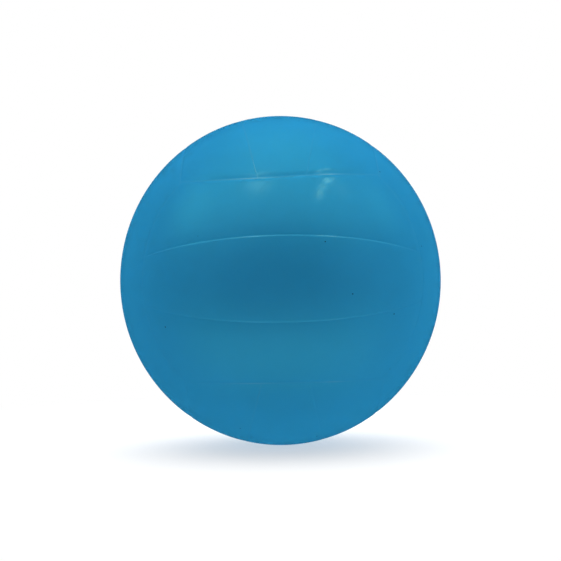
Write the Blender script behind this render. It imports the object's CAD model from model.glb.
"""An inflated vinyl play ball with moulded panel grooves and a pull-out needle valve.

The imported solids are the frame. The ball's skin and the valve's stem are modelled
again here with their fine form, the pieces inside keep their solids, and a small
studio looks at the ball as the photograph does.
"""

import logging
import math
from collections.abc import Callable, Iterable, Sequence
from dataclasses import dataclass, field
from enum import Enum
from typing import Any

import bmesh
import bpy
import numpy as np
from bmesh.types import BMEdge, BMesh, BMVert
from bpy.types import Material, NodeSocket, Object, World
from mathutils import Matrix, Vector


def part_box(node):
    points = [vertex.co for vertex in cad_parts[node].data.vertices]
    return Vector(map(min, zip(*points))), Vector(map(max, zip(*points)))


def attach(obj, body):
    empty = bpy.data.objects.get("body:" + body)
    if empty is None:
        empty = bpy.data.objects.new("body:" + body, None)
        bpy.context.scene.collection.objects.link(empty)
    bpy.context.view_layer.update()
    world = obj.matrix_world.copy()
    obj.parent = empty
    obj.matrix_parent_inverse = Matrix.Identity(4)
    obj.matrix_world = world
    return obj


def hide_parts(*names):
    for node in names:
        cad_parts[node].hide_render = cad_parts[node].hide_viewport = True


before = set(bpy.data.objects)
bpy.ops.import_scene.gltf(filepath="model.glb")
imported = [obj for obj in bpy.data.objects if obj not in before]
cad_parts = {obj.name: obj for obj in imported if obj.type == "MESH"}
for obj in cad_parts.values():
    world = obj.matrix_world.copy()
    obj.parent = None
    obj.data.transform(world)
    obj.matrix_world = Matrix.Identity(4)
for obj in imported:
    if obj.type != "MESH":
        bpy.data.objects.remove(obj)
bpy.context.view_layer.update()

log = logging.getLogger("ball")

MM = 0.001
WHITE = (1, 1, 1, 1)


class Body(str, Enum):
    """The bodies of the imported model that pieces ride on."""

    BALL = "ball"
    VALVE = "valve"


class Slot(str, Enum):
    """The record's material slots that modelled pieces take."""

    SKIN = "skin"
    STEM = "stem"


def linear(hex_colour: str) -> tuple[float, float, float, float]:
    """Turns a colour written in sRGB into the linear values that shaders take.

    Args:
        hex_colour: Six hex digits after a hash, such as "#1487b7".

    Returns:
        Red, green, blue and an alpha of 1, all linear.
    """
    digits = hex_colour.lstrip("#")
    parts = [int(digits[i : i + 2], 16) / 255 for i in (0, 2, 4)]
    low = [p / 12.92 if p <= 0.04045 else ((p + 0.055) / 1.055) ** 2.4 for p in parts]
    return (low[0], low[1], low[2], 1.0)


class Nodes:
    """The shader nodes of a material or a world, wired up from nothing."""

    def __init__(self, owner: Material | World) -> None:
        """Clears the owner's nodes, apart from the one of its output."""
        owner.use_nodes = True
        self.tree = owner.node_tree
        self.tree.nodes.clear()
        self.end = self.tree.nodes.new("ShaderNodeOutput" + type(owner).__name__)

    def add(self, kind: str, inputs: dict[str | int, Any] | None = None, out: str | int = 0,
            **settings: Any) -> NodeSocket:
        """Adds one node.

        Args:
            kind: The node's type, without its ShaderNode prefix.
            inputs: Input name or number to its value, or to the output that feeds it.
            out: Name or number of the node's output that is wanted.
            settings: Properties of the node.

        Returns:
            The wanted output.
        """
        node = self.tree.nodes.new("ShaderNode" + kind)
        for name, value in settings.items():
            setattr(node, name, value)
        for name, value in (inputs or {}).items():
            if isinstance(value, NodeSocket):
                self.tree.links.new(value, node.inputs[name])
            else:
                node.inputs[name].default_value = value
        return node.outputs[out]

    def rescale(self, value: NodeSocket, old: tuple[float, float], new: tuple[float, float],
                **settings: Any) -> NodeSocket:
        """Moves a value from one range to another and holds it inside the new one.

        Args:
            value: The value.
            old: Where its range starts and ends.
            new: What it becomes there.
            settings: Properties of the node.

        Returns:
            The new value.
        """
        ends = {"From Min": old[0], "From Max": old[1], "To Min": new[0], "To Max": new[1]}
        return self.add("MapRange", {"Value": value, **ends}, **settings)

    def mix(self, share: NodeSocket, first: Any, second: str) -> NodeSocket:
        """Mixes two colours.

        Args:
            share: How much there is of the second colour.
            first: The first colour, linear or as the output that feeds it.
            second: The second colour, as hex digits.

        Returns:
            The mixed colour.
        """
        # A Mix node takes colours at its inputs 6 and 7 and gives one at its output 2.
        inputs = {"Factor": share, 6: first, 7: linear(second)}
        return self.add("Mix", inputs, 2, data_type="RGBA")

    def grain(self, place: NodeSocket, size: float, height: float, detail: float = 2.0) -> NodeSocket:
        """Adds a fine unevenness.

        Args:
            place: Places on the object.
            size: How wide its grains are, in metres.
            height: How high they are, in metres.
            detail: How many finer layers lie over them.

        Returns:
            The uneven surface's normal.
        """
        noise = self.add("TexNoise", {"Vector": place, "Scale": 1 / size, "Detail": detail})
        return self.add("Bump", {"Height": noise, "Distance": height})

    def long_noise(self, place: NodeSocket, sizes: Sequence[float], turn: float = 0.0) -> NodeSocket:
        """Adds a noise with long grains.

        Args:
            place: Places on the object.
            sizes: How large a grain is along its three axes, in metres.
            turn: How far it is turned about +Y, in radians.

        Returns:
            The noise's value.
        """
        inputs = {"Vector": place, "Rotation": (0, turn, 0), "Scale": sizes}
        drawn = self.add("Mapping", inputs, vector_type="TEXTURE")
        return self.add("TexNoise", {"Vector": drawn, "Scale": 1.0, "Detail": 0.0})

    def show(self, shader: NodeSocket) -> None:
        """Makes a shader the surface that is seen."""
        self.tree.links.new(shader, self.end.inputs["Surface"])


def new_material(name: str) -> tuple[Material, Nodes, NodeSocket]:
    """Makes a material that has no surface yet.

    Args:
        name: What the material is and how it was made.

    Returns:
        The material, its nodes and the places on the object.
    """
    material = bpy.data.materials.new(name)
    nodes = Nodes(material)
    return material, nodes, nodes.add("TexCoord", out="Object")


def bell(distance: np.ndarray, width: float, power: int = 2) -> np.ndarray:
    """Gives 1 at a distance of 0, falling to 0 round the width, steeply at a high power."""
    return np.exp(-((distance / width) ** power))


def share_of(distance: np.ndarray, reach: np.ndarray | float) -> np.ndarray:
    """Gives a distance as a share of a reach, held between 0 and 1."""
    return np.clip(distance / reach, 0, 1)


def loop_edges(mesh_bm: BMesh, loop: Sequence[BMVert]) -> list[BMEdge]:
    """Finds the edges of a closed loop of vertices, in turn."""
    return [mesh_bm.edges.get(pair) for pair in zip(loop, [*loop[1:], loop[0]])]


def mesh_object(name: str, mesh_bm: BMesh, material: Material) -> Object:
    """Turns a bmesh into an object at the origin and frees the bmesh.

    Args:
        name: The object's name.
        mesh_bm: The finished bmesh, in metres and in the model's frame.
        material: The object's only material.

    Returns:
        The new object, linked to the scene and shaded smooth.
    """
    mesh = bpy.data.meshes.new(name)
    mesh_bm.to_mesh(mesh)
    mesh_bm.free()
    mesh.materials.append(material)
    mesh.polygons.foreach_set("use_smooth", np.ones(len(mesh.polygons), dtype=bool))
    made = bpy.data.objects.new(name, mesh)
    bpy.context.scene.collection.objects.link(made)
    return made


def dress(node: str, material: Material) -> None:
    """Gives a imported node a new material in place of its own."""
    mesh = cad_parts[node].data
    mesh.materials.clear()
    mesh.materials.append(material)


@dataclass(frozen=True)
class MouldedVinyl:
    """Glossy plasticised PVC, moulded in one piece and a little translucent.

    It gives the eye an even, deep blue with a few dark specks of dirt in it, a soft
    gloss that slanting scuffs break up where a lamp shines on it, a very slight
    orange peel from the mould's blasted wall, a fine uneven glint along the lips of
    the grooves, a dull band where dirt lies beside the deepest ones, and a whitish
    bruise on the edges that face up.
    """

    colour: str = "#278abc"
    deep_colour: str = "#2588b8"
    speck_colour: str = "#0b3346"
    bruise_colour: str = "#a8cdd4"
    bruise_share: float = 0.27
    roughness: float = 0.12
    lip_roughness: float = 0.36
    lip_gloss_level: float = 1.0
    ior: float = 1.53
    gloss_level: float = 0.5
    depth_weight: float = 1.0
    depth_m: tuple[float, float, float] = (0.6 * MM, 1.2 * MM, 1.6 * MM)
    clouding_m: float = 55 * MM
    clouding_detail: float = 3.0
    clouding_fineness: float = 0.55
    clouding_range: tuple[float, float] = (0.3, 0.7)
    peel_m: float = 1.6 * MM
    peel_height_m: float = 0.006 * MM
    peel_detail: float = 1.5
    scuff_m: tuple[float, float, float] = (9 * MM, 5 * MM, 1.5 * MM)
    scuff_turn_deg: float = -45.0
    scuff_height_m: float = 0.035 * MM
    nick_m: tuple[float, float, float] = (2 * MM, 40 * MM, 40 * MM)
    nick_height_m: float = 0.2 * MM
    speck_gap_m: float = 17 * MM
    speck_m: float = 0.55 * MM
    speck_core: float = 0.7

    def tint(self, nodes: Nodes, place: NodeSocket, worn: NodeSocket) -> NodeSocket:
        """Colours the vinyl, with its clouds, its specks and its bruised edges.

        Args:
            nodes: The material's nodes.
            place: Places on the object.
            worn: How worn the surface is.

        Returns:
            The colour.
        """
        clouds = nodes.add("TexNoise", {
            "Vector": place, "Scale": 1 / self.clouding_m,
            "Detail": self.clouding_detail, "Roughness": self.clouding_fineness,
        })
        tone = nodes.rescale(clouds, self.clouding_range, (0, 1))
        body = nodes.mix(tone, linear(self.colour), self.deep_colour)
        gaps = nodes.add("TexVoronoi", {"Vector": place, "Scale": 1 / self.speck_gap_m})
        speck_r = self.speck_m / self.speck_gap_m
        speck = nodes.rescale(gaps, (self.speck_core * speck_r, speck_r), (1, 0))
        spotted = nodes.mix(speck, body, self.speck_colour)
        bruise = nodes.add("Math", {0: worn, 1: self.bruise_share}, operation="MULTIPLY")
        return nodes.mix(bruise, spotted, self.bruise_colour)

    def surface(self, nodes: Nodes, place: NodeSocket, worn: NodeSocket) -> NodeSocket:
        """Roughens the vinyl with orange peel, slanting scuffs and nicks in worn edges.

        Args:
            nodes: The material's nodes.
            place: Places on the object.
            worn: How worn the surface is.

        Returns:
            The surface's normal.
        """
        peel = nodes.grain(place, self.peel_m, self.peel_height_m, self.peel_detail)
        # Real scuffs are hair lines too fine for the picture, so these are drawn wider.
        scuffs = nodes.long_noise(place, self.scuff_m, math.radians(self.scuff_turn_deg))
        scuffed = nodes.add("Bump", {"Height": scuffs, "Normal": peel, "Distance": self.scuff_height_m})
        nicks = nodes.long_noise(place, self.nick_m)
        nicked = nodes.add("Math", {0: nicks, 1: worn}, operation="MULTIPLY")
        return nodes.add("Bump", {"Height": nicked, "Normal": scuffed, "Distance": self.nick_height_m})

    def build(self, lip_attribute: str, worn_attribute: str) -> Material:
        """Builds the material.

        Args:
            lip_attribute: Name of the vertex attribute that goes up to 1 on a strip
                groove's polished lip and a half on an edge's shelf, and below 0 in dirt.
            worn_attribute: Name of the one that goes up to 1 on a worn line.

        Returns:
            The material.
        """
        material, nodes, place = new_material("Moulded translucent vinyl")
        lip, worn = (
            nodes.add("Attribute", out="Fac", attribute_name=name)
            for name in (lip_attribute, worn_attribute)
        )
        dirty_level = 2 * self.gloss_level - self.lip_gloss_level
        shader = nodes.add("BsdfPrincipled", {
            "Base Color": self.tint(nodes, place, worn),
            "Normal": self.surface(nodes, place, worn),
            "Roughness": nodes.rescale(lip, (0.5, 1), (self.roughness, self.lip_roughness)),
            "Specular IOR Level": nodes.rescale(lip, (-1, 1), (dirty_level, self.lip_gloss_level)),
            "IOR": self.ior,
            "Subsurface Weight": self.depth_weight,
            "Subsurface Radius": self.depth_m,
            "Subsurface Scale": 1.0,
        }, subsurface_method="BURLEY")
        nodes.show(shader)
        return material


@dataclass(frozen=True)
class MattFinish:
    """A plain moulded material, matt from the fine grain of its mould, with a light bloom."""

    name: str
    colour: str
    bloom_colour: str
    roughness: float = 0.5
    bloom_m: float = 3 * MM
    bloom_detail: float = 4.0
    grain_m: float = 0.35 * MM
    grain_height_m: float = 0.01 * MM

    def build(self) -> Material:
        """Builds the material and returns it."""
        material, nodes, place = new_material(self.name)
        inputs = {"Vector": place, "Scale": 1 / self.bloom_m, "Detail": self.bloom_detail}
        bloom = nodes.add("TexNoise", inputs)
        shader = nodes.add("BsdfPrincipled", {
            "Base Color": nodes.mix(bloom, linear(self.colour), self.bloom_colour),
            "Roughness": self.roughness,
            "Normal": nodes.grain(place, self.grain_m, self.grain_height_m),
        })
        nodes.show(shader)
        return material


SOFT_VINYL = MattFinish(
    "Moulded matt vinyl", "#1a6585", "#1a6585", roughness=0.55, grain_m=0.8 * MM, grain_height_m=0.02 * MM
)
BUTYL_RUBBER = MattFinish("Moulded butyl rubber", "#26272a", "#3b3c3f")
TACKY_BUTYL = MattFinish("Tacky butyl core", "#a97f4b", "#b48d5c")


@dataclass
class PanelPattern:
    """The panel pattern on a unit sphere: six faces of three strips.

    A face is seen in its own three directions: out is the face's middle, along
    is the way its strips run and across is the way that they are counted. Every
    groove lies in one plane, so its distance is a matter of one dot product.

    Attributes:
        strip_angle: Angle from a face's middle to its strip grooves.
        edge_angle: Angle from a face's middle to its long edges.
    """

    strip_angle: float = math.radians(13.75)
    edge_angle: float = math.radians(34.8)

    corner: float = field(init=False, default=1 / math.sqrt(3))
    plane_turn: float = field(init=False)
    plane_share: float = field(init=False)
    circle_share: float = field(init=False)
    edge_half: float = field(init=False)
    strip_place: float = field(init=False)

    def __post_init__(self) -> None:
        """Works out the long edge's plane, its circle and where strip grooves meet it."""
        rise = math.sin(self.edge_angle) - self.corner
        run = math.cos(self.edge_angle) - self.corner
        self.plane_turn = math.atan2(rise, run)
        self.plane_share = math.sin(self.edge_angle - self.plane_turn)
        self.circle_share = math.cos(self.edge_angle - self.plane_turn)
        self.edge_half = math.asin(self.corner / self.circle_share)
        slope = math.tan(self.strip_angle)
        tilt = math.atan(slope * math.sin(self.plane_turn))
        reach = slope * self.plane_share * math.cos(self.plane_turn) * math.cos(tilt)
        self.strip_place = math.asin(reach / self.circle_share) + tilt

    def curve(self, share: np.ndarray, at_third: float, at_end: float) -> np.ndarray:
        """Spreads shares from 0 to 1 over an angle with a given value at a third.

        Args:
            share: Shares of the way from the face's middle to its edge.
            at_third: The angle wanted at a share of one third.
            at_end: The angle wanted at a share of 1.

        Returns:
            The angles, along the cubic without a square term that fits both.
        """
        bend = (at_end - 3 * at_third) * 9 / 8
        return (at_end - bend) * share + bend * share**3

    def edge_point(self, turn: np.ndarray) -> tuple[np.ndarray, np.ndarray, np.ndarray]:
        """Gives points of a long edge.

        Args:
            turn: Angles along the edge's circle, from the edge's middle.

        Returns:
            How far the points are out, across and along.
        """
        inward = self.circle_share * np.cos(turn)
        sine, cosine = math.sin(self.plane_turn), math.cos(self.plane_turn)
        out = inward * cosine - self.plane_share * sine
        across = inward * sine + self.plane_share * cosine
        return out, across, self.circle_share * np.sin(turn)

    def spot(self, along_share: np.ndarray, across_share: np.ndarray) -> np.ndarray:
        """Places grid points of a face so that grid lines run along its grooves.

        Args:
            along_share: Shares from 0 at the middle to 1 at the short edge.
            across_share: Shares from 0 at the middle to 1 at the long edge, with
                the strip groove at a third.

        Returns:
            Unit vectors as rows of out, along and across.
        """
        turn = self.curve(across_share, self.strip_place, self.edge_half)
        _, far_out, far_across = self.edge_point(turn)
        middle = self.curve(across_share, self.strip_angle, self.edge_angle)
        out, across, none = np.cos(middle), np.sin(middle), np.zeros_like(middle)
        lengthwise = np.stack([across - far_across, none, far_out - out], axis=-1)
        lengthwise_at = lengthwise[:, 0] * out + lengthwise[:, 2] * across

        turn = self.curve(along_share, self.strip_place, self.edge_half)
        near_out, _, near_along = self.edge_point(turn)
        middle = along_share * (math.pi / 2 - self.edge_angle)
        out, along = np.cos(middle), np.sin(middle)
        crosswise = np.stack([along - near_along, near_out - out, none], axis=-1)
        crosswise_at = crosswise[:, 0] * out + crosswise[:, 1] * along

        way = np.cross(lengthwise, crosswise)
        size = np.sum(way * way, axis=-1)
        foot = lengthwise_at[:, None] * np.cross(crosswise, way)
        foot += crosswise_at[:, None] * np.cross(way, lengthwise)
        foot /= size[:, None]
        reach = np.sqrt(np.maximum(0, 1 - np.sum(foot * foot, axis=-1)) / size)
        sign = np.where(way[:, 0] + way[:, 1] >= 0, 1.0, -1.0)
        return foot + way * (reach * sign)[:, None]

    def distances(self, spots: np.ndarray) -> dict[str, np.ndarray]:
        """Measures the angles from points of a face to the grooves round them.

        Args:
            spots: Unit vectors as rows of out, along and across.

        Returns:
            Angles to the long edge and the short edge, and to the strip groove, which
            is less than 0 on the middle strip.
        """
        out, along, across = spots[:, 0], np.abs(spots[:, 1]), np.abs(spots[:, 2])
        sine, cosine = math.sin(self.plane_turn), math.cos(self.plane_turn)
        level = math.asin(self.plane_share)
        strip = across * math.cos(self.strip_angle) - out * math.sin(self.strip_angle)
        return {
            "long": np.abs(level - np.arcsin(across * cosine - out * sine)),
            "short": np.abs(np.arcsin(out * cosine - along * sine) - level),
            "strip": np.arcsin(strip),
        }


@dataclass
class BallSkin:
    """The one-piece moulded skin, with its grooves, its valve dish and its inside.

    Its methods take directions, which are unit vectors from the ball's centre, and
    spots, which are the same in a face's own directions: out, along and across.

    Attributes:
        thickness: The skin's wall.
        edge_depth: Depth of the grooves round a face, whose long sides rise over
            long_side_w to the neighbour, and whose short sides rise by shelf_depth
            over the flat shelf of shelf_w and to the top over short_side_w.
        worn_w, strip_worn: Width of the worn line on a shelf, and how worn a strip
            groove's lip is against it.
        dirt_share: How dull the dirt beside a shelf is.
        strip_depth: Depth of the grooves between strips, steep over lip_w on the
            middle strip's side and rising over slope_w on the other.
        round_wall, steep_wall: Powers that hollow out the slopes of the grooves.
        parting_share: Share of the depth that is left at the mould's parting.
        parting_start, parting_end: Where the grooves start and stop growing shallow,
            as the share of the radius that they lie from the parting.
        low_wear: Share of the wear and dirt that there is low down. The rest of it
            starts with wear_start at the equator and grows by wear_rise per radius.
        rubs: Middle along X and reach of the places on the front rubbed most.
        rub_floor: Share of the full polish away from them.
        skew: How far air pressure pulls the front's upper edge down at -X and up at
            +X. It turns over at skew_middle, within skew_reach, both along X and Z.
        skew_drop: How far it pulls all of that edge down.
        front_rise: How fast the skew and the rubs grow from the sides forwards.
        lip_line_w: Half width of the polished line along a strip groove's lip.
        blend_power: How sharply grooves that meet keep their own forms.
        crown, crown_reach: How far the skin sags at a groove, and how wide of it.
        sway, sway_seed: Height and seed of the inflated skin's unevenness, which is
            the mean of sway_waves waves of about sway_pace radians per radius.
        strip_cells, outer_cells, inside_cells, valve_cells: Squares of the grids.
        strip_pull, edge_pull: How much closer the grid's lines are at a strip groove
            and at an edge, within strip_pull_w and edge_pull_w of a face's half.
        spread_steps: Steps that the closeness is added up in.
        dish_r, hole_r: The valve's dish and its hole.
        brim_gaps: How far outside the dish the rings on the skin lie.
        brim, fillet, mouth: Roundings of the dish's rim, its floor and the hole, each
            of arc_points points.
        inside_ring, inside_gap: The widest ring on the inner wall, and how far the
            narrowest lies from the hole.
        seat_depth: The stem's length, from its foot to the dish's floor.
    """

    pattern: PanelPattern = field(default_factory=PanelPattern)
    finish: MouldedVinyl = field(default_factory=MouldedVinyl)
    thickness: float = 2.2 * MM
    edge_depth: float = 0.36 * MM
    long_side_w: float = 1.6 * MM
    shelf_w: float = 1.4 * MM
    worn_w: float = 0.9 * MM
    strip_worn: float = 0.25
    shelf_depth: float = 0.045 * MM
    short_side_w: float = 4.4 * MM
    dirt_share: float = 0.6
    strip_depth: float = 0.19 * MM
    round_wall: float = 1.4
    steep_wall: float = 1.2
    parting_share: float = 0.4
    parting_start: float = 0.8
    parting_end: float = 0.56
    low_wear: float = 0.3
    wear_start: float = 0.3
    wear_rise: float = 3.0
    rubs: tuple[tuple[float, float], ...] = ((-19 * MM, 11 * MM), (28 * MM, 6 * MM))
    rub_floor: float = 0.2
    skew: float = 2 * MM
    skew_drop: float = 0.9 * MM
    skew_middle: tuple[float, float] = (8 * MM, 62 * MM)
    skew_reach: tuple[float, float] = (22 * MM, 16 * MM)
    front_rise: float = 3.0
    lip_line_w: float = 0.45 * MM
    lip_w: float = 0.75 * MM
    slope_w: float = 7 * MM
    blend_power: float = 6.0
    crown: float = 0.06 * MM
    crown_reach: float = 3 * MM
    sway: float = 0.04 * MM
    sway_seed: int = 7
    sway_waves: int = 7
    sway_pace: float = 4.0
    strip_cells: int = 21
    outer_cells: int = 37
    inside_cells: int = 40
    valve_cells: int = 6
    strip_pull: float = 12.0
    strip_pull_w: float = 0.025
    edge_pull: float = 8.0
    edge_pull_w: float = 0.03
    spread_steps: int = 4001
    dish_r: float = 8.5 * MM
    hole_r: float = 4.06 * MM
    brim_gaps: tuple[float, ...] = (5 * MM, 2.5 * MM, 1.2 * MM, 0.6 * MM)
    brim: float = 0.28 * MM
    fillet: float = 0.2 * MM
    mouth: float = 0.14 * MM
    arc_points: int = 4
    inside_ring: float = 16 * MM
    inside_gap: float = 0.4 * MM
    seat_depth: float = 24 * MM
    lip_attribute: str = "lip_share"
    worn_attribute: str = "worn_share"

    width: float = field(init=False)
    height: float = field(init=False)
    stretch: float = field(init=False)
    seat_y: float = field(init=False)

    def __post_init__(self) -> None:
        """Takes the ball's size and the dish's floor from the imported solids."""
        low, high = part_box("skin")
        self.width = high.x - low.x
        self.height = high.z - low.z
        self.stretch = self.height / self.width
        self.seat_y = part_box("valve_stem")[0].y + self.seat_depth

    def spread(self, share: np.ndarray) -> np.ndarray:
        """Draws even grid lines together at the grooves.

        Args:
            share: Even shares from 0 at a face's middle to 1 at its edge.

        Returns:
            The same lines, closer together at a third and at 1.
        """
        fine = np.linspace(0, 1, self.spread_steps)
        third = 1 / 3
        weight = 1 + self.strip_pull / (1 + ((fine - third) / self.strip_pull_w) ** 4)
        weight += self.edge_pull / (1 + ((fine - 1) / self.edge_pull_w) ** 4)
        total = np.concatenate([[0], np.cumsum((weight[1:] + weight[:-1]) / 2)])
        cells = self.strip_cells + self.outer_cells
        at_third = np.interp(third, fine, total)
        line = share * cells
        inner = np.interp(line / self.strip_cells * at_third, total, fine)
        outer_total = at_third + (line - self.strip_cells) / self.outer_cells * (total[-1] - at_third)
        outer = np.interp(outer_total, total, fine)
        return np.where(line <= self.strip_cells, inner, outer)

    def relief(self, spots: np.ndarray) -> tuple[np.ndarray, np.ndarray]:
        """Works out how far the moulded surface lies under the plain ball.

        Args:
            spots: Unit vectors as rows of out, along and across.

        Returns:
            The depth in metres, and three shares: of lip, which is 1 on a strip
            groove's lip and a half on an edge's shelf, of worn line, and of dirt.
        """
        gap = {k: v * self.width / 2 for k, v in self.pattern.distances(spots).items()}
        strip_w = np.where(gap["strip"] < 0, self.lip_w, self.slope_w)
        strip_wall = np.where(gap["strip"] < 0, self.steep_wall, self.round_wall)
        strip_gap = np.abs(gap["strip"])
        wall = (self.edge_depth, self.edge_depth - self.shelf_depth, 0)
        groove = self.joined(
            self.edge_depth * (1 - share_of(gap["long"], self.long_side_w)) ** self.round_wall,
            np.interp(gap["short"], (0, self.shelf_w, self.short_side_w), wall),
            self.strip_depth * (1 - share_of(strip_gap, strip_w)) ** strip_wall,
        )
        gaps = (gap["long"], gap["short"], strip_gap)
        sag = self.joined(*(self.crown * np.exp(-g / self.crown_reach) for g in gaps))
        shelf = bell(gap["short"], self.shelf_w, 4)
        strip_lip = bell(gap["strip"] + self.lip_w / 2, self.lip_line_w)
        worn = np.maximum(bell(gap["short"], self.worn_w, 4), self.strip_worn * strip_lip)
        dirt = self.dirt_share * share_of(gap["short"] - self.shelf_w / 2, self.shelf_w / 2)
        dirt *= 1 - share_of(gap["short"] - self.shelf_w, self.short_side_w - self.shelf_w)
        return groove + sag, np.stack([np.maximum(shelf / 2, strip_lip), worn, dirt])

    def joined(self, *depths: np.ndarray) -> np.ndarray:
        """Joins the depths of grooves that meet, so that each keeps its own form."""
        return sum(d**self.blend_power for d in depths) ** (1 / self.blend_power)

    def filling(self, directions: np.ndarray) -> np.ndarray:
        """Gives the share of their depth that grooves have, which is less at the parting."""
        way = np.abs(directions[:, 1]) - self.parting_start
        way = share_of(way, self.parting_end - self.parting_start)
        return 1 - (1 - self.parting_share) * way * way * (3 - 2 * way)

    def frontness(self, directions: np.ndarray) -> np.ndarray:
        """Gives 1 on the front and 0 behind."""
        return np.clip(-self.front_rise * directions[:, 1], 0, 1)

    def use(self, directions: np.ndarray) -> np.ndarray:
        """Gives the share of all wear and dirt that grooves have, which is less low down."""
        high = np.clip(directions[:, 2] * self.wear_rise + self.wear_start, 0, 1)
        return self.low_wear + (1 - self.low_wear) * high

    def rubbing(self, directions: np.ndarray) -> np.ndarray:
        """Gives the share of full polish that lips have, which is most at the rubs."""
        x = directions[:, 0] * self.width / 2
        bells = [bell(x - middle, reach) for middle, reach in self.rubs]
        rubbed = np.max(bells, axis=0) * self.frontness(directions)
        return self.rub_floor + (1 - self.rub_floor) * rubbed

    def drawn_askew(self, directions: np.ndarray) -> np.ndarray:
        """Pulls the front's upper edge out of true, as air pressure has done.

        Args:
            directions: Unit vectors from the ball's centre.

        Returns:
            The directions after it, with the edge lower at -X and higher at +X.
        """
        radius = self.width / 2
        side = directions[:, 0] * radius - self.skew_middle[0]
        above = directions[:, 2] * radius - self.skew_middle[1]
        pull = self.skew * np.tanh(side / self.skew_reach[0]) - self.skew_drop
        moved = directions.copy()
        moved[:, 2] += pull / radius * bell(above, self.skew_reach[1]) * self.frontness(directions)
        return moved / np.linalg.norm(moved, axis=1, keepdims=True)

    def swell(self, directions: np.ndarray) -> np.ndarray:
        """Gives the slight unevenness of an inflated skin, as a height in metres."""
        rng = np.random.default_rng(self.sway_seed)
        waves = rng.normal(size=(self.sway_waves, 3)) * self.sway_pace
        starts = rng.uniform(0, 2 * math.pi, size=self.sway_waves)
        return self.sway * np.sin(directions @ waves.T + starts).mean(axis=1)

    def outside(self, spots: np.ndarray, frames: np.ndarray) -> tuple[np.ndarray, np.ndarray]:
        """Places points of the outer surface.

        Args:
            spots: Unit vectors as rows of out, along and across.
            frames: For each point the three directions of its face, as rows.

        Returns:
            Positions in metres, and the lip and worn shares as rows.
        """
        directions = self.drawn_askew(np.einsum("ij,ijk->ik", spots, frames))
        depth, (lip, worn, dirt) = self.relief(spots)
        filled = self.filling(directions)
        radius = self.width / 2 - depth * filled + self.swell(directions)
        places = directions * radius[:, None]
        places[:, 2] *= self.stretch
        used = filled * self.use(directions)
        rubbed = self.rubbing(directions)
        return places, used[:, None] * np.stack([lip * rubbed - dirt, worn * rubbed], axis=-1)

    def grid(self, cells: int) -> BMesh:
        """Starts a cube from -1 to 1 with so many squares along each edge."""
        made = bmesh.new()
        bmesh.ops.create_cube(made, size=2)
        bmesh.ops.subdivide_edges(made, edges=made.edges[:], cuts=cells - 1, use_grid_fill=True)
        return made

    def face_frames(self, cube: np.ndarray) -> tuple[np.ndarray, np.ndarray]:
        """Finds the face that each point of the cube lies on.

        Args:
            cube: Points on the cube's surface.

        Returns:
            Face coordinates as rows of out, along and across, and for each point
            the three directions of its face, as rows.
        """
        axis = np.argmax(np.abs(cube), axis=1)
        rows = np.arange(len(cube))
        frames = np.zeros((len(cube), 3, 3))
        frames[rows, 0, axis] = np.sign(cube[rows, axis])
        frames[rows, 1, (axis + 2) % 3] = 1
        frames[rows, 2, (axis + 1) % 3] = 1
        return np.einsum("ijk,ik->ij", frames, cube), frames

    def cut_round_valve(self, made: BMesh, cells: int) -> list[BMVert]:
        """Opens the grid in the middle of the valve's face.

        Args:
            made: The grid, still on its cube.
            cells: Squares along each edge of the cube.

        Returns:
            The vertices round the opening, in turn from +X towards +Z.
        """
        # A hundredth of a square more, so that rounding leaves no square out.
        reach = (self.valve_cells + 0.01) * 2 / cells
        inner = [
            f for f in made.faces
            if f.normal.y > 0.5 and all(abs(v.co.x) < reach and abs(v.co.z) < reach for v in f.verts)
        ]
        bmesh.ops.delete(made, geom=inner, context="FACES")
        rim = {v for e in made.edges if e.is_boundary for v in e.verts}
        return sorted(rim, key=lambda v: math.atan2(v.co.z, v.co.x) % (2 * math.pi))

    def ring(self, made: BMesh, rim: Sequence[BMVert], radius: float,
             place: Callable[[float, float], Sequence[float]]) -> list[BMVert]:
        """Adds a ring of squares inside an open rim.

        Args:
            made: The mesh.
            rim: The open rim's vertices, in turn from +X towards +Z.
            radius: The new rim's distance from the valve's axis.
            place: Gives a new vertex's position from its places along X and Z.

        Returns:
            The new rim, in the same order.
        """
        grown = bmesh.ops.extrude_edge_only(made, edges=loop_edges(made, rim))["geom"]
        fresh = {g for g in grown if isinstance(g, BMVert)}
        following = []
        for i, vert in enumerate(rim):
            turn = 2 * math.pi * i / len(rim)
            new = next(e.other_vert(vert) for e in vert.link_edges if e.other_vert(vert) in fresh)
            new.co = place(radius * math.cos(turn), radius * math.sin(turn))
            following.append(new)
        return following

    def sphere_y(self, x: float, z: float, radius: float) -> float:
        """Gives how far along +Y a ball lies that has this radius and is stretched along Z."""
        return math.sqrt(radius**2 - x**2 - (z / self.stretch) ** 2)

    def on_skin(self, x: float, z: float) -> Vector:
        """Gives a position on the moulded skin near the valve."""
        direction = np.array([[x, self.sphere_y(x, z, self.width / 2), z / self.stretch]])
        direction /= np.linalg.norm(direction)
        frames = np.array([[[0, 1, 0], [1, 0, 0], [0, 0, 1]]], dtype=float)
        return Vector(self.outside(direction[:, [1, 0, 2]], frames)[0][0])

    def arc(self, middle: tuple[float, float], radius: float,
            turns: tuple[float, float]) -> list[tuple[float, float]]:
        """Rounds a corner of the dish's section.

        Args:
            middle: The arc's middle, as distance from the axis and place along +Y.
            radius: The arc's radius.
            turns: Degrees from outwards towards +Y where it starts and ends.

        Returns:
            Points along it in the same form as its middle.
        """
        angles = [math.radians(turn) for turn in np.linspace(*turns, self.arc_points)]
        return [(middle[0] + radius * math.cos(a), middle[1] + radius * math.sin(a)) for a in angles]

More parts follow.
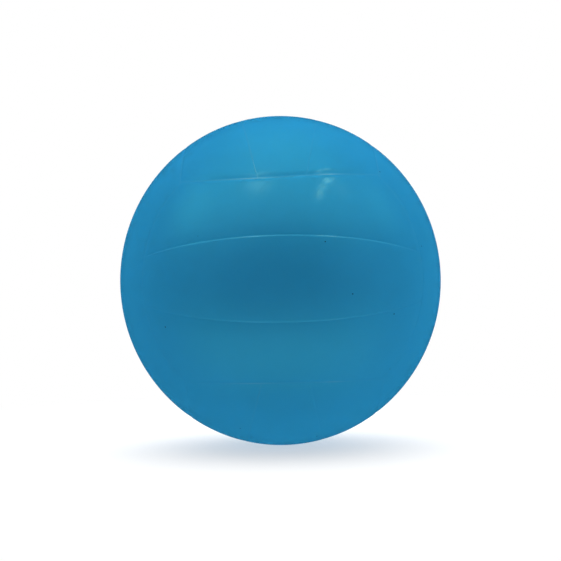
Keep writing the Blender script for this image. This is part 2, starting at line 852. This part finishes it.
    def dish_section(self) -> list[tuple[float, float]]:
        """Lists the rings from the dish's rim to the foot of the valve's hole.

        Returns:
            Radius and place along +Y of each ring.
        """
        rim, hole, floor = self.dish_r, self.hole_r, self.seat_y
        top = self.width / 2 - rim**2 / self.width
        foot = self.width / 2 - self.thickness
        return [
            *self.arc((rim + self.brim, top - self.brim), self.brim, (90, 180)),
            *self.arc((rim - self.fillet, floor + self.fillet), self.fillet, (0, -90)),
            ((rim + hole) / 2, floor),
            *self.arc((hole + self.mouth, floor - self.mouth), self.mouth, (90, 180)),
            (hole, foot),
        ]

    def shape(self) -> BMesh:
        """Models the closed skin and returns its bmesh."""
        cells = 2 * (self.strip_cells + self.outer_cells)
        made = self.grid(cells)
        lip_layer = made.verts.layers.float.new(self.lip_attribute)
        worn_layer = made.verts.layers.float.new(self.worn_attribute)
        rim = self.cut_round_valve(made, cells)
        cube = np.array([v.co for v in made.verts])
        flat, frames = self.face_frames(cube)
        sides = self.spread(np.abs(flat[:, 1:]))
        spots = self.pattern.spot(sides[:, 0], sides[:, 1])
        spots[:, 1:] *= np.sign(flat[:, 1:])
        places, shares = self.outside(spots, frames)
        for vert, place, (lip, worn) in zip(made.verts, places, shares):
            vert.co = place
            vert[lip_layer] = lip
            vert[worn_layer] = worn

        for gap in self.brim_gaps:
            rim = self.ring(made, rim, self.dish_r + gap, self.on_skin)
        for radius, level in self.dish_section():
            rim = self.ring(made, rim, radius, lambda x, z, y=level: (x, y, z))
        self.add_inside(made, rim)
        bmesh.ops.recalc_face_normals(made, faces=made.faces[:])
        return made

    def add_inside(self, made: BMesh, rim: Sequence[BMVert]) -> None:
        """Adds the smooth inner wall and joins it to the foot of the valve's hole.

        Args:
            made: The skin's mesh, open at the foot of the hole.
            rim: The foot's vertices, in turn.
        """
        radius = self.width / 2 - self.thickness
        inner = self.grid(self.inside_cells)
        mouth = self.cut_round_valve(inner, self.inside_cells)
        for vert in inner.verts:
            way = Vector(math.tan(c * math.pi / 4) for c in vert.co).normalized()
            vert.co = Vector((way.x, way.y, way.z * self.stretch)) * radius
        for ring_r in (self.inside_ring, self.dish_r, self.hole_r + self.inside_gap):
            mouth = self.ring(inner, mouth, ring_r, lambda x, z: (x, self.sphere_y(x, z, radius), z))
        inner.verts.index_update()
        mouth_index = [v.index for v in mouth]
        mesh = bpy.data.meshes.new("inner wall")
        inner.to_mesh(mesh)
        inner.free()
        start = len(made.verts)
        made.from_mesh(mesh)
        bpy.data.meshes.remove(mesh)
        made.verts.ensure_lookup_table()
        mouth = [made.verts[start + i] for i in mouth_index]
        bmesh.ops.bridge_loops(made, edges=loop_edges(made, rim) + loop_edges(made, mouth))

    def build(self) -> Object:
        """Builds the skin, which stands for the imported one, and returns it."""
        material = self.finish.build(self.lip_attribute, self.worn_attribute)
        made = mesh_object("moulded_skin", self.shape(), material)
        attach(made, Body.BALL.value)
        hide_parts("skin")
        return made


@dataclass
class ValveStem:
    """The rubber plug in the skin, with its head, its raised lip and its channel."""

    finish: MattFinish = BUTYL_RUBBER
    stem_r: float = 4 * MM
    head_r: float = 5.3 * MM
    head_t: float = 0.5 * MM
    lip_r: float = 2.6 * MM
    lip_h: float = 0.25 * MM
    tip_r: float = 3.2 * MM
    tip_len: float = 4.5 * MM
    channel_r: float = 0.9 * MM
    channel_len: float = 12 * MM
    funnel_r: float = 1.5 * MM
    funnel_h: float = 0.6 * MM
    pocket_r: float = 2.35 * MM
    pocket_len: float = 6 * MM
    rounding: float = 0.12 * MM
    rounding_steps: int = 4
    steps: int = 96
    weld: float = 0.001 * MM

    def outline(self) -> list[tuple[float, float]]:
        """Lists the corners of half a section, as radius and place along +Y."""
        low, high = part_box("valve_stem")
        tip, top = low.y, high.y
        head_top = top - self.lip_h
        seat = head_top - self.head_t
        return [
            (0, top - self.channel_len),
            (self.channel_r, top - self.channel_len),
            (self.channel_r, top - self.funnel_h),
            (self.funnel_r, top),
            (self.lip_r - self.lip_h, top),
            (self.lip_r, head_top),
            (self.head_r, head_top),
            (self.head_r, seat),
            (self.stem_r, seat),
            (self.stem_r, tip + self.tip_len),
            (self.tip_r, tip),
            (self.pocket_r, tip),
            (self.pocket_r, tip + self.pocket_len),
            (0, tip + self.pocket_len),
        ]

    def build(self) -> Object:
        """Builds the stem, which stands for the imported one, and returns it."""
        turned = bmesh.new()
        corners = [turned.verts.new((r, y, 0)) for r, y in self.outline()]
        for first, second in zip(corners, corners[1:]):
            turned.edges.new((first, second))
        bmesh.ops.bevel(
            turned, geom=corners[1:-1], offset=self.rounding, segments=self.rounding_steps,
            profile=0.5, affect="VERTICES", material=-1,
        )
        bmesh.ops.spin(
            turned, geom=turned.verts[:] + turned.edges[:], cent=(0, 0, 0), axis=(0, 1, 0),
            angle=2 * math.pi, steps=self.steps, use_merge=True,
        )
        bmesh.ops.remove_doubles(turned, verts=turned.verts[:], dist=self.weld)
        bmesh.ops.recalc_face_normals(turned, faces=turned.faces[:])
        made = mesh_object("rubber_stem", turned, self.finish.build())
        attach(made, Body.VALVE.value)
        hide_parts("valve_stem")
        return made


@dataclass(frozen=True)
class Glow:
    """Light that comes softly from one side.

    Attributes:
        way: Direction that it comes from, seen from the ball.
        power: How closely it gathers round that direction.
        strength: How strong it is in that direction.
        tint: Its colour, linear.
    """

    way: tuple[float, float, float]
    power: float
    strength: float
    tint: tuple[float, float, float] = (1.0, 1.0, 1.0)


# Linear tints of the light that the ball's gloss mirrors.
SEA_GREEN = (0.12, 1.0, 1.1)
PALE_GREEN = (0.43, 1.0, 0.7)
SKY_BLUE = (0.09, 1.0, 1.95)


@dataclass
class Studio:
    """A pale floor, a soft studio's light and the camera of the photograph.

    Attributes:
        outline_px: Half the ball's width in the photograph.
        distance_radii: The camera's distance from the ball's centre in ball radii.
        turn_deg, tilt_deg, roll_deg: How the photographed ball is turned.
        shadow_share: How strongly the floor shows the ball's shadow.
        fade_widths: Where the floor starts and ends fading to white, in ball widths.
        dome: The soft light on the ball.
        walls: What its gloss mirrors: cloth, sky light from behind and the lamps.
    """

    ball_w: float
    ball_h: float
    image_px: int = 561
    sensor_mm: float = 36.0
    outline_px: float = 160.33
    distance_radii: float = 8.077
    turn_deg: float = 1.355
    tilt_deg: float = -0.6
    roll_deg: float = -0.99
    tent_r: float = 3.0
    tent_splits: int = 4
    floor_r: float = 2.9
    floor_sides: int = 64
    floor_tone: float = 0.91
    shadow_share: float = 0.5
    fade_widths: tuple[float, float] = (0.7, 2.0)
    dome: tuple[Glow, ...] = (
        Glow((0, 0, 1), 3, 1.85),
        Glow((0, 0.7, 0.7), 2, 1.85),
        Glow((0, 1, 0), 2, 0.4),
        Glow((0, 0.7, -0.7), 2, 0.89),
        Glow((0, 0, -1), 1, 0.83),
        Glow((-1, 0, 0), 2, 0.94),
        Glow((1, 0, 0), 2, 1.22),
    )
    walls: tuple[Glow, ...] = (
        Glow((0, 0, 1), 8, 1.03, SEA_GREEN),
        Glow((0, -0.62, 0.79), 8, 0.95, SEA_GREEN),
        Glow((-0.58, -0.41, 0.71), 8, 1.10, SEA_GREEN),
        Glow((0.58, -0.41, 0.71), 8, 1.00, SEA_GREEN),
        Glow((0, -0.71, -0.71), 8, 1.04, SEA_GREEN),
        Glow((-0.63, -0.44, -0.64), 8, 0.87, SEA_GREEN),
        Glow((0.63, -0.44, -0.64), 8, 0.76, SEA_GREEN),
        Glow((-0.774, -0.105, 0.624), 30, 0.86, SEA_GREEN),
        Glow((0.823, 0.035, 0.568), 40, 0.57, SEA_GREEN),
        Glow((0, 1, 0), 8, 0.12, SKY_BLUE),
        Glow((0, 0.7, 0.7), 4, 0.11, SKY_BLUE),
        Glow((-0.7, 0.7, 0), 4, 0.08, SKY_BLUE),
        Glow((0.7, 0.7, 0), 4, 0.10, SKY_BLUE),
        Glow((-0.213, -0.38, 0.90), 150, 1.5, PALE_GREEN),
        Glow((0.462, -0.155, 0.873), 2500, 3.5, PALE_GREEN),
        Glow((0.437, -0.225, 0.871), 2500, 7, PALE_GREEN),
        Glow((0.414, -0.33, 0.848), 2500, 5, PALE_GREEN),
        Glow((0.393, -0.42, 0.818), 3000, 6.5, PALE_GREEN),
        Glow((0.38, -0.48, 0.79), 3000, 3, PALE_GREEN),
        Glow((0.575, -0.235, 0.784), 400, 0.55, PALE_GREEN),
    )

    def add_camera(self) -> Object:
        """Stands the camera where the photograph was taken from and returns it."""
        radius = self.ball_w / 2
        focal_px = self.outline_px * math.sqrt(self.distance_radii**2 - 1)
        data = bpy.data.cameras.new("camera")
        data.sensor_width = self.sensor_mm
        data.lens = focal_px * self.sensor_mm / self.image_px
        camera = bpy.data.objects.new("camera", data)
        stand = Matrix.Rotation(math.radians(-self.turn_deg), 4, "Z")
        stand @= Matrix.Rotation(math.radians(-self.tilt_deg), 4, "X")
        stand @= Matrix.Rotation(math.radians(-self.roll_deg), 4, "Y")
        stand @= Matrix.Translation((0, -self.distance_radii * radius, 0))
        stand @= Matrix.Rotation(math.pi / 2, 4, "X")
        camera.matrix_world = stand
        bpy.context.scene.collection.objects.link(camera)
        bpy.context.scene.camera = camera
        return camera

    def add_world(self) -> None:
        """Puts plain white behind all that the camera sees."""
        world = bpy.data.worlds.new("white surroundings")
        bpy.context.scene.world = world
        nodes = Nodes(world)
        nodes.show(nodes.add("Background", {"Color": WHITE, "Strength": 1.0}))

    def glow(self, nodes: Nodes, way: NodeSocket, glows: Iterable[Glow]) -> NodeSocket:
        """Adds up soft lights by direction.

        Args:
            nodes: The nodes that they join.
            way: The direction, as a unit vector.
            glows: The lights.

        Returns:
            Their colour in that direction.
        """
        total: Any = (0, 0, 0)
        for light in glows:
            middle = Vector(light.way).normalized()
            near = nodes.add("VectorMath", {0: way, 1: middle}, "Value", operation="DOT_PRODUCT")
            front = nodes.add("Math", {0: near, 1: 0.0}, operation="MAXIMUM")
            share = nodes.add("Math", {0: front, 1: light.power}, operation="POWER")
            inputs = {0: share, 1: Vector(light.tint) * light.strength, 2: total}
            total = nodes.add("VectorMath", inputs, operation="MULTIPLY_ADD")
        return total

    def add_floor(self) -> Object:
        """Lays a pale floor that carries the ball's shadow and fades to white."""
        material, nodes, place = new_material("Matt paper floor")
        far = nodes.add("VectorMath", {0: place}, "Value", operation="LENGTH")
        ends = (self.ball_w * self.fade_widths[0], self.ball_w * self.fade_widths[1])
        fade = nodes.rescale(far, ends, (1 - self.shadow_share, 1), interpolation_type="SMOOTHSTEP")
        paper = nodes.add("BsdfDiffuse", {"Color": (*[self.floor_tone] * 3, 1)})
        white = nodes.add("Emission", {"Color": WHITE, "Strength": 1.0})
        face = nodes.add("MixShader", {0: fade, 1: paper, 2: white})
        below = nodes.add("NewGeometry", out="Backfacing")
        clear = nodes.add("BsdfTransparent")
        nodes.show(nodes.add("MixShader", {0: below, 1: face, 2: clear}))
        sheet = bmesh.new()
        bmesh.ops.create_circle(sheet, cap_ends=True, radius=self.floor_r, segments=self.floor_sides)
        bmesh.ops.translate(sheet, verts=sheet.verts[:], vec=(0, 0, -self.ball_h / 2))
        floor = mesh_object("floor", sheet, material)
        material.cycles.emission_sampling = "NONE"
        for kind in ("diffuse", "glossy", "transmission", "volume_scatter", "shadow"):
            setattr(floor, "visible_" + kind, False)
        return floor

    def add_shell(self) -> Object:
        """Puts a light tent round the ball.

        Its panels light the ball softly, and the gloss sees them toned down, as
        through the dark flags that keep a veil of white off a glossy thing.
        """
        material, nodes, place = new_material("Light tent of white cloth")
        way = nodes.add("VectorMath", {0: place}, operation="NORMALIZE")
        cloth, flags = (
            nodes.add("Emission", {"Color": self.glow(nodes, way, glows), "Strength": 1.0})
            for glows in (self.dome, self.walls)
        )
        gloss = nodes.add("LightPath", out="Is Glossy Ray")
        nodes.show(nodes.add("MixShader", {0: gloss, 1: cloth, 2: flags}))
        material.cycles.emission_sampling = "NONE"
        tent = bmesh.new()
        bmesh.ops.create_icosphere(tent, subdivisions=self.tent_splits, radius=self.tent_r)
        bmesh.ops.reverse_faces(tent, faces=tent.faces[:])
        shell = mesh_object("light_tent", tent, material)
        for kind in ("camera", "transmission"):
            setattr(shell, "visible_" + kind, False)
        return shell

    def build(self) -> None:
        """Builds the studio."""
        self.add_world()
        for made in (self.add_camera(), self.add_floor(), self.add_shell()):
            log.info("studio: %s", made.name)


def main() -> None:
    """Builds the ball piece by piece, then the studio."""
    logging.basicConfig(level=logging.INFO, format="%(message)s")
    bpy.context.scene.view_settings.view_transform = "Standard"
    skin = BallSkin()
    for made in (skin.build(), ValveStem().build()):
        log.info("%s: %d faces", made.name, len(made.data.polygons))
    for node, finish in (("valve_housing", SOFT_VINYL), ("sealing_core", TACKY_BUTYL)):
        dress(node, finish.build())
        log.info("%s: packed solid", node)
    Studio(ball_w=skin.width, ball_h=skin.height).build()


if __name__ == "__main__":
    main()
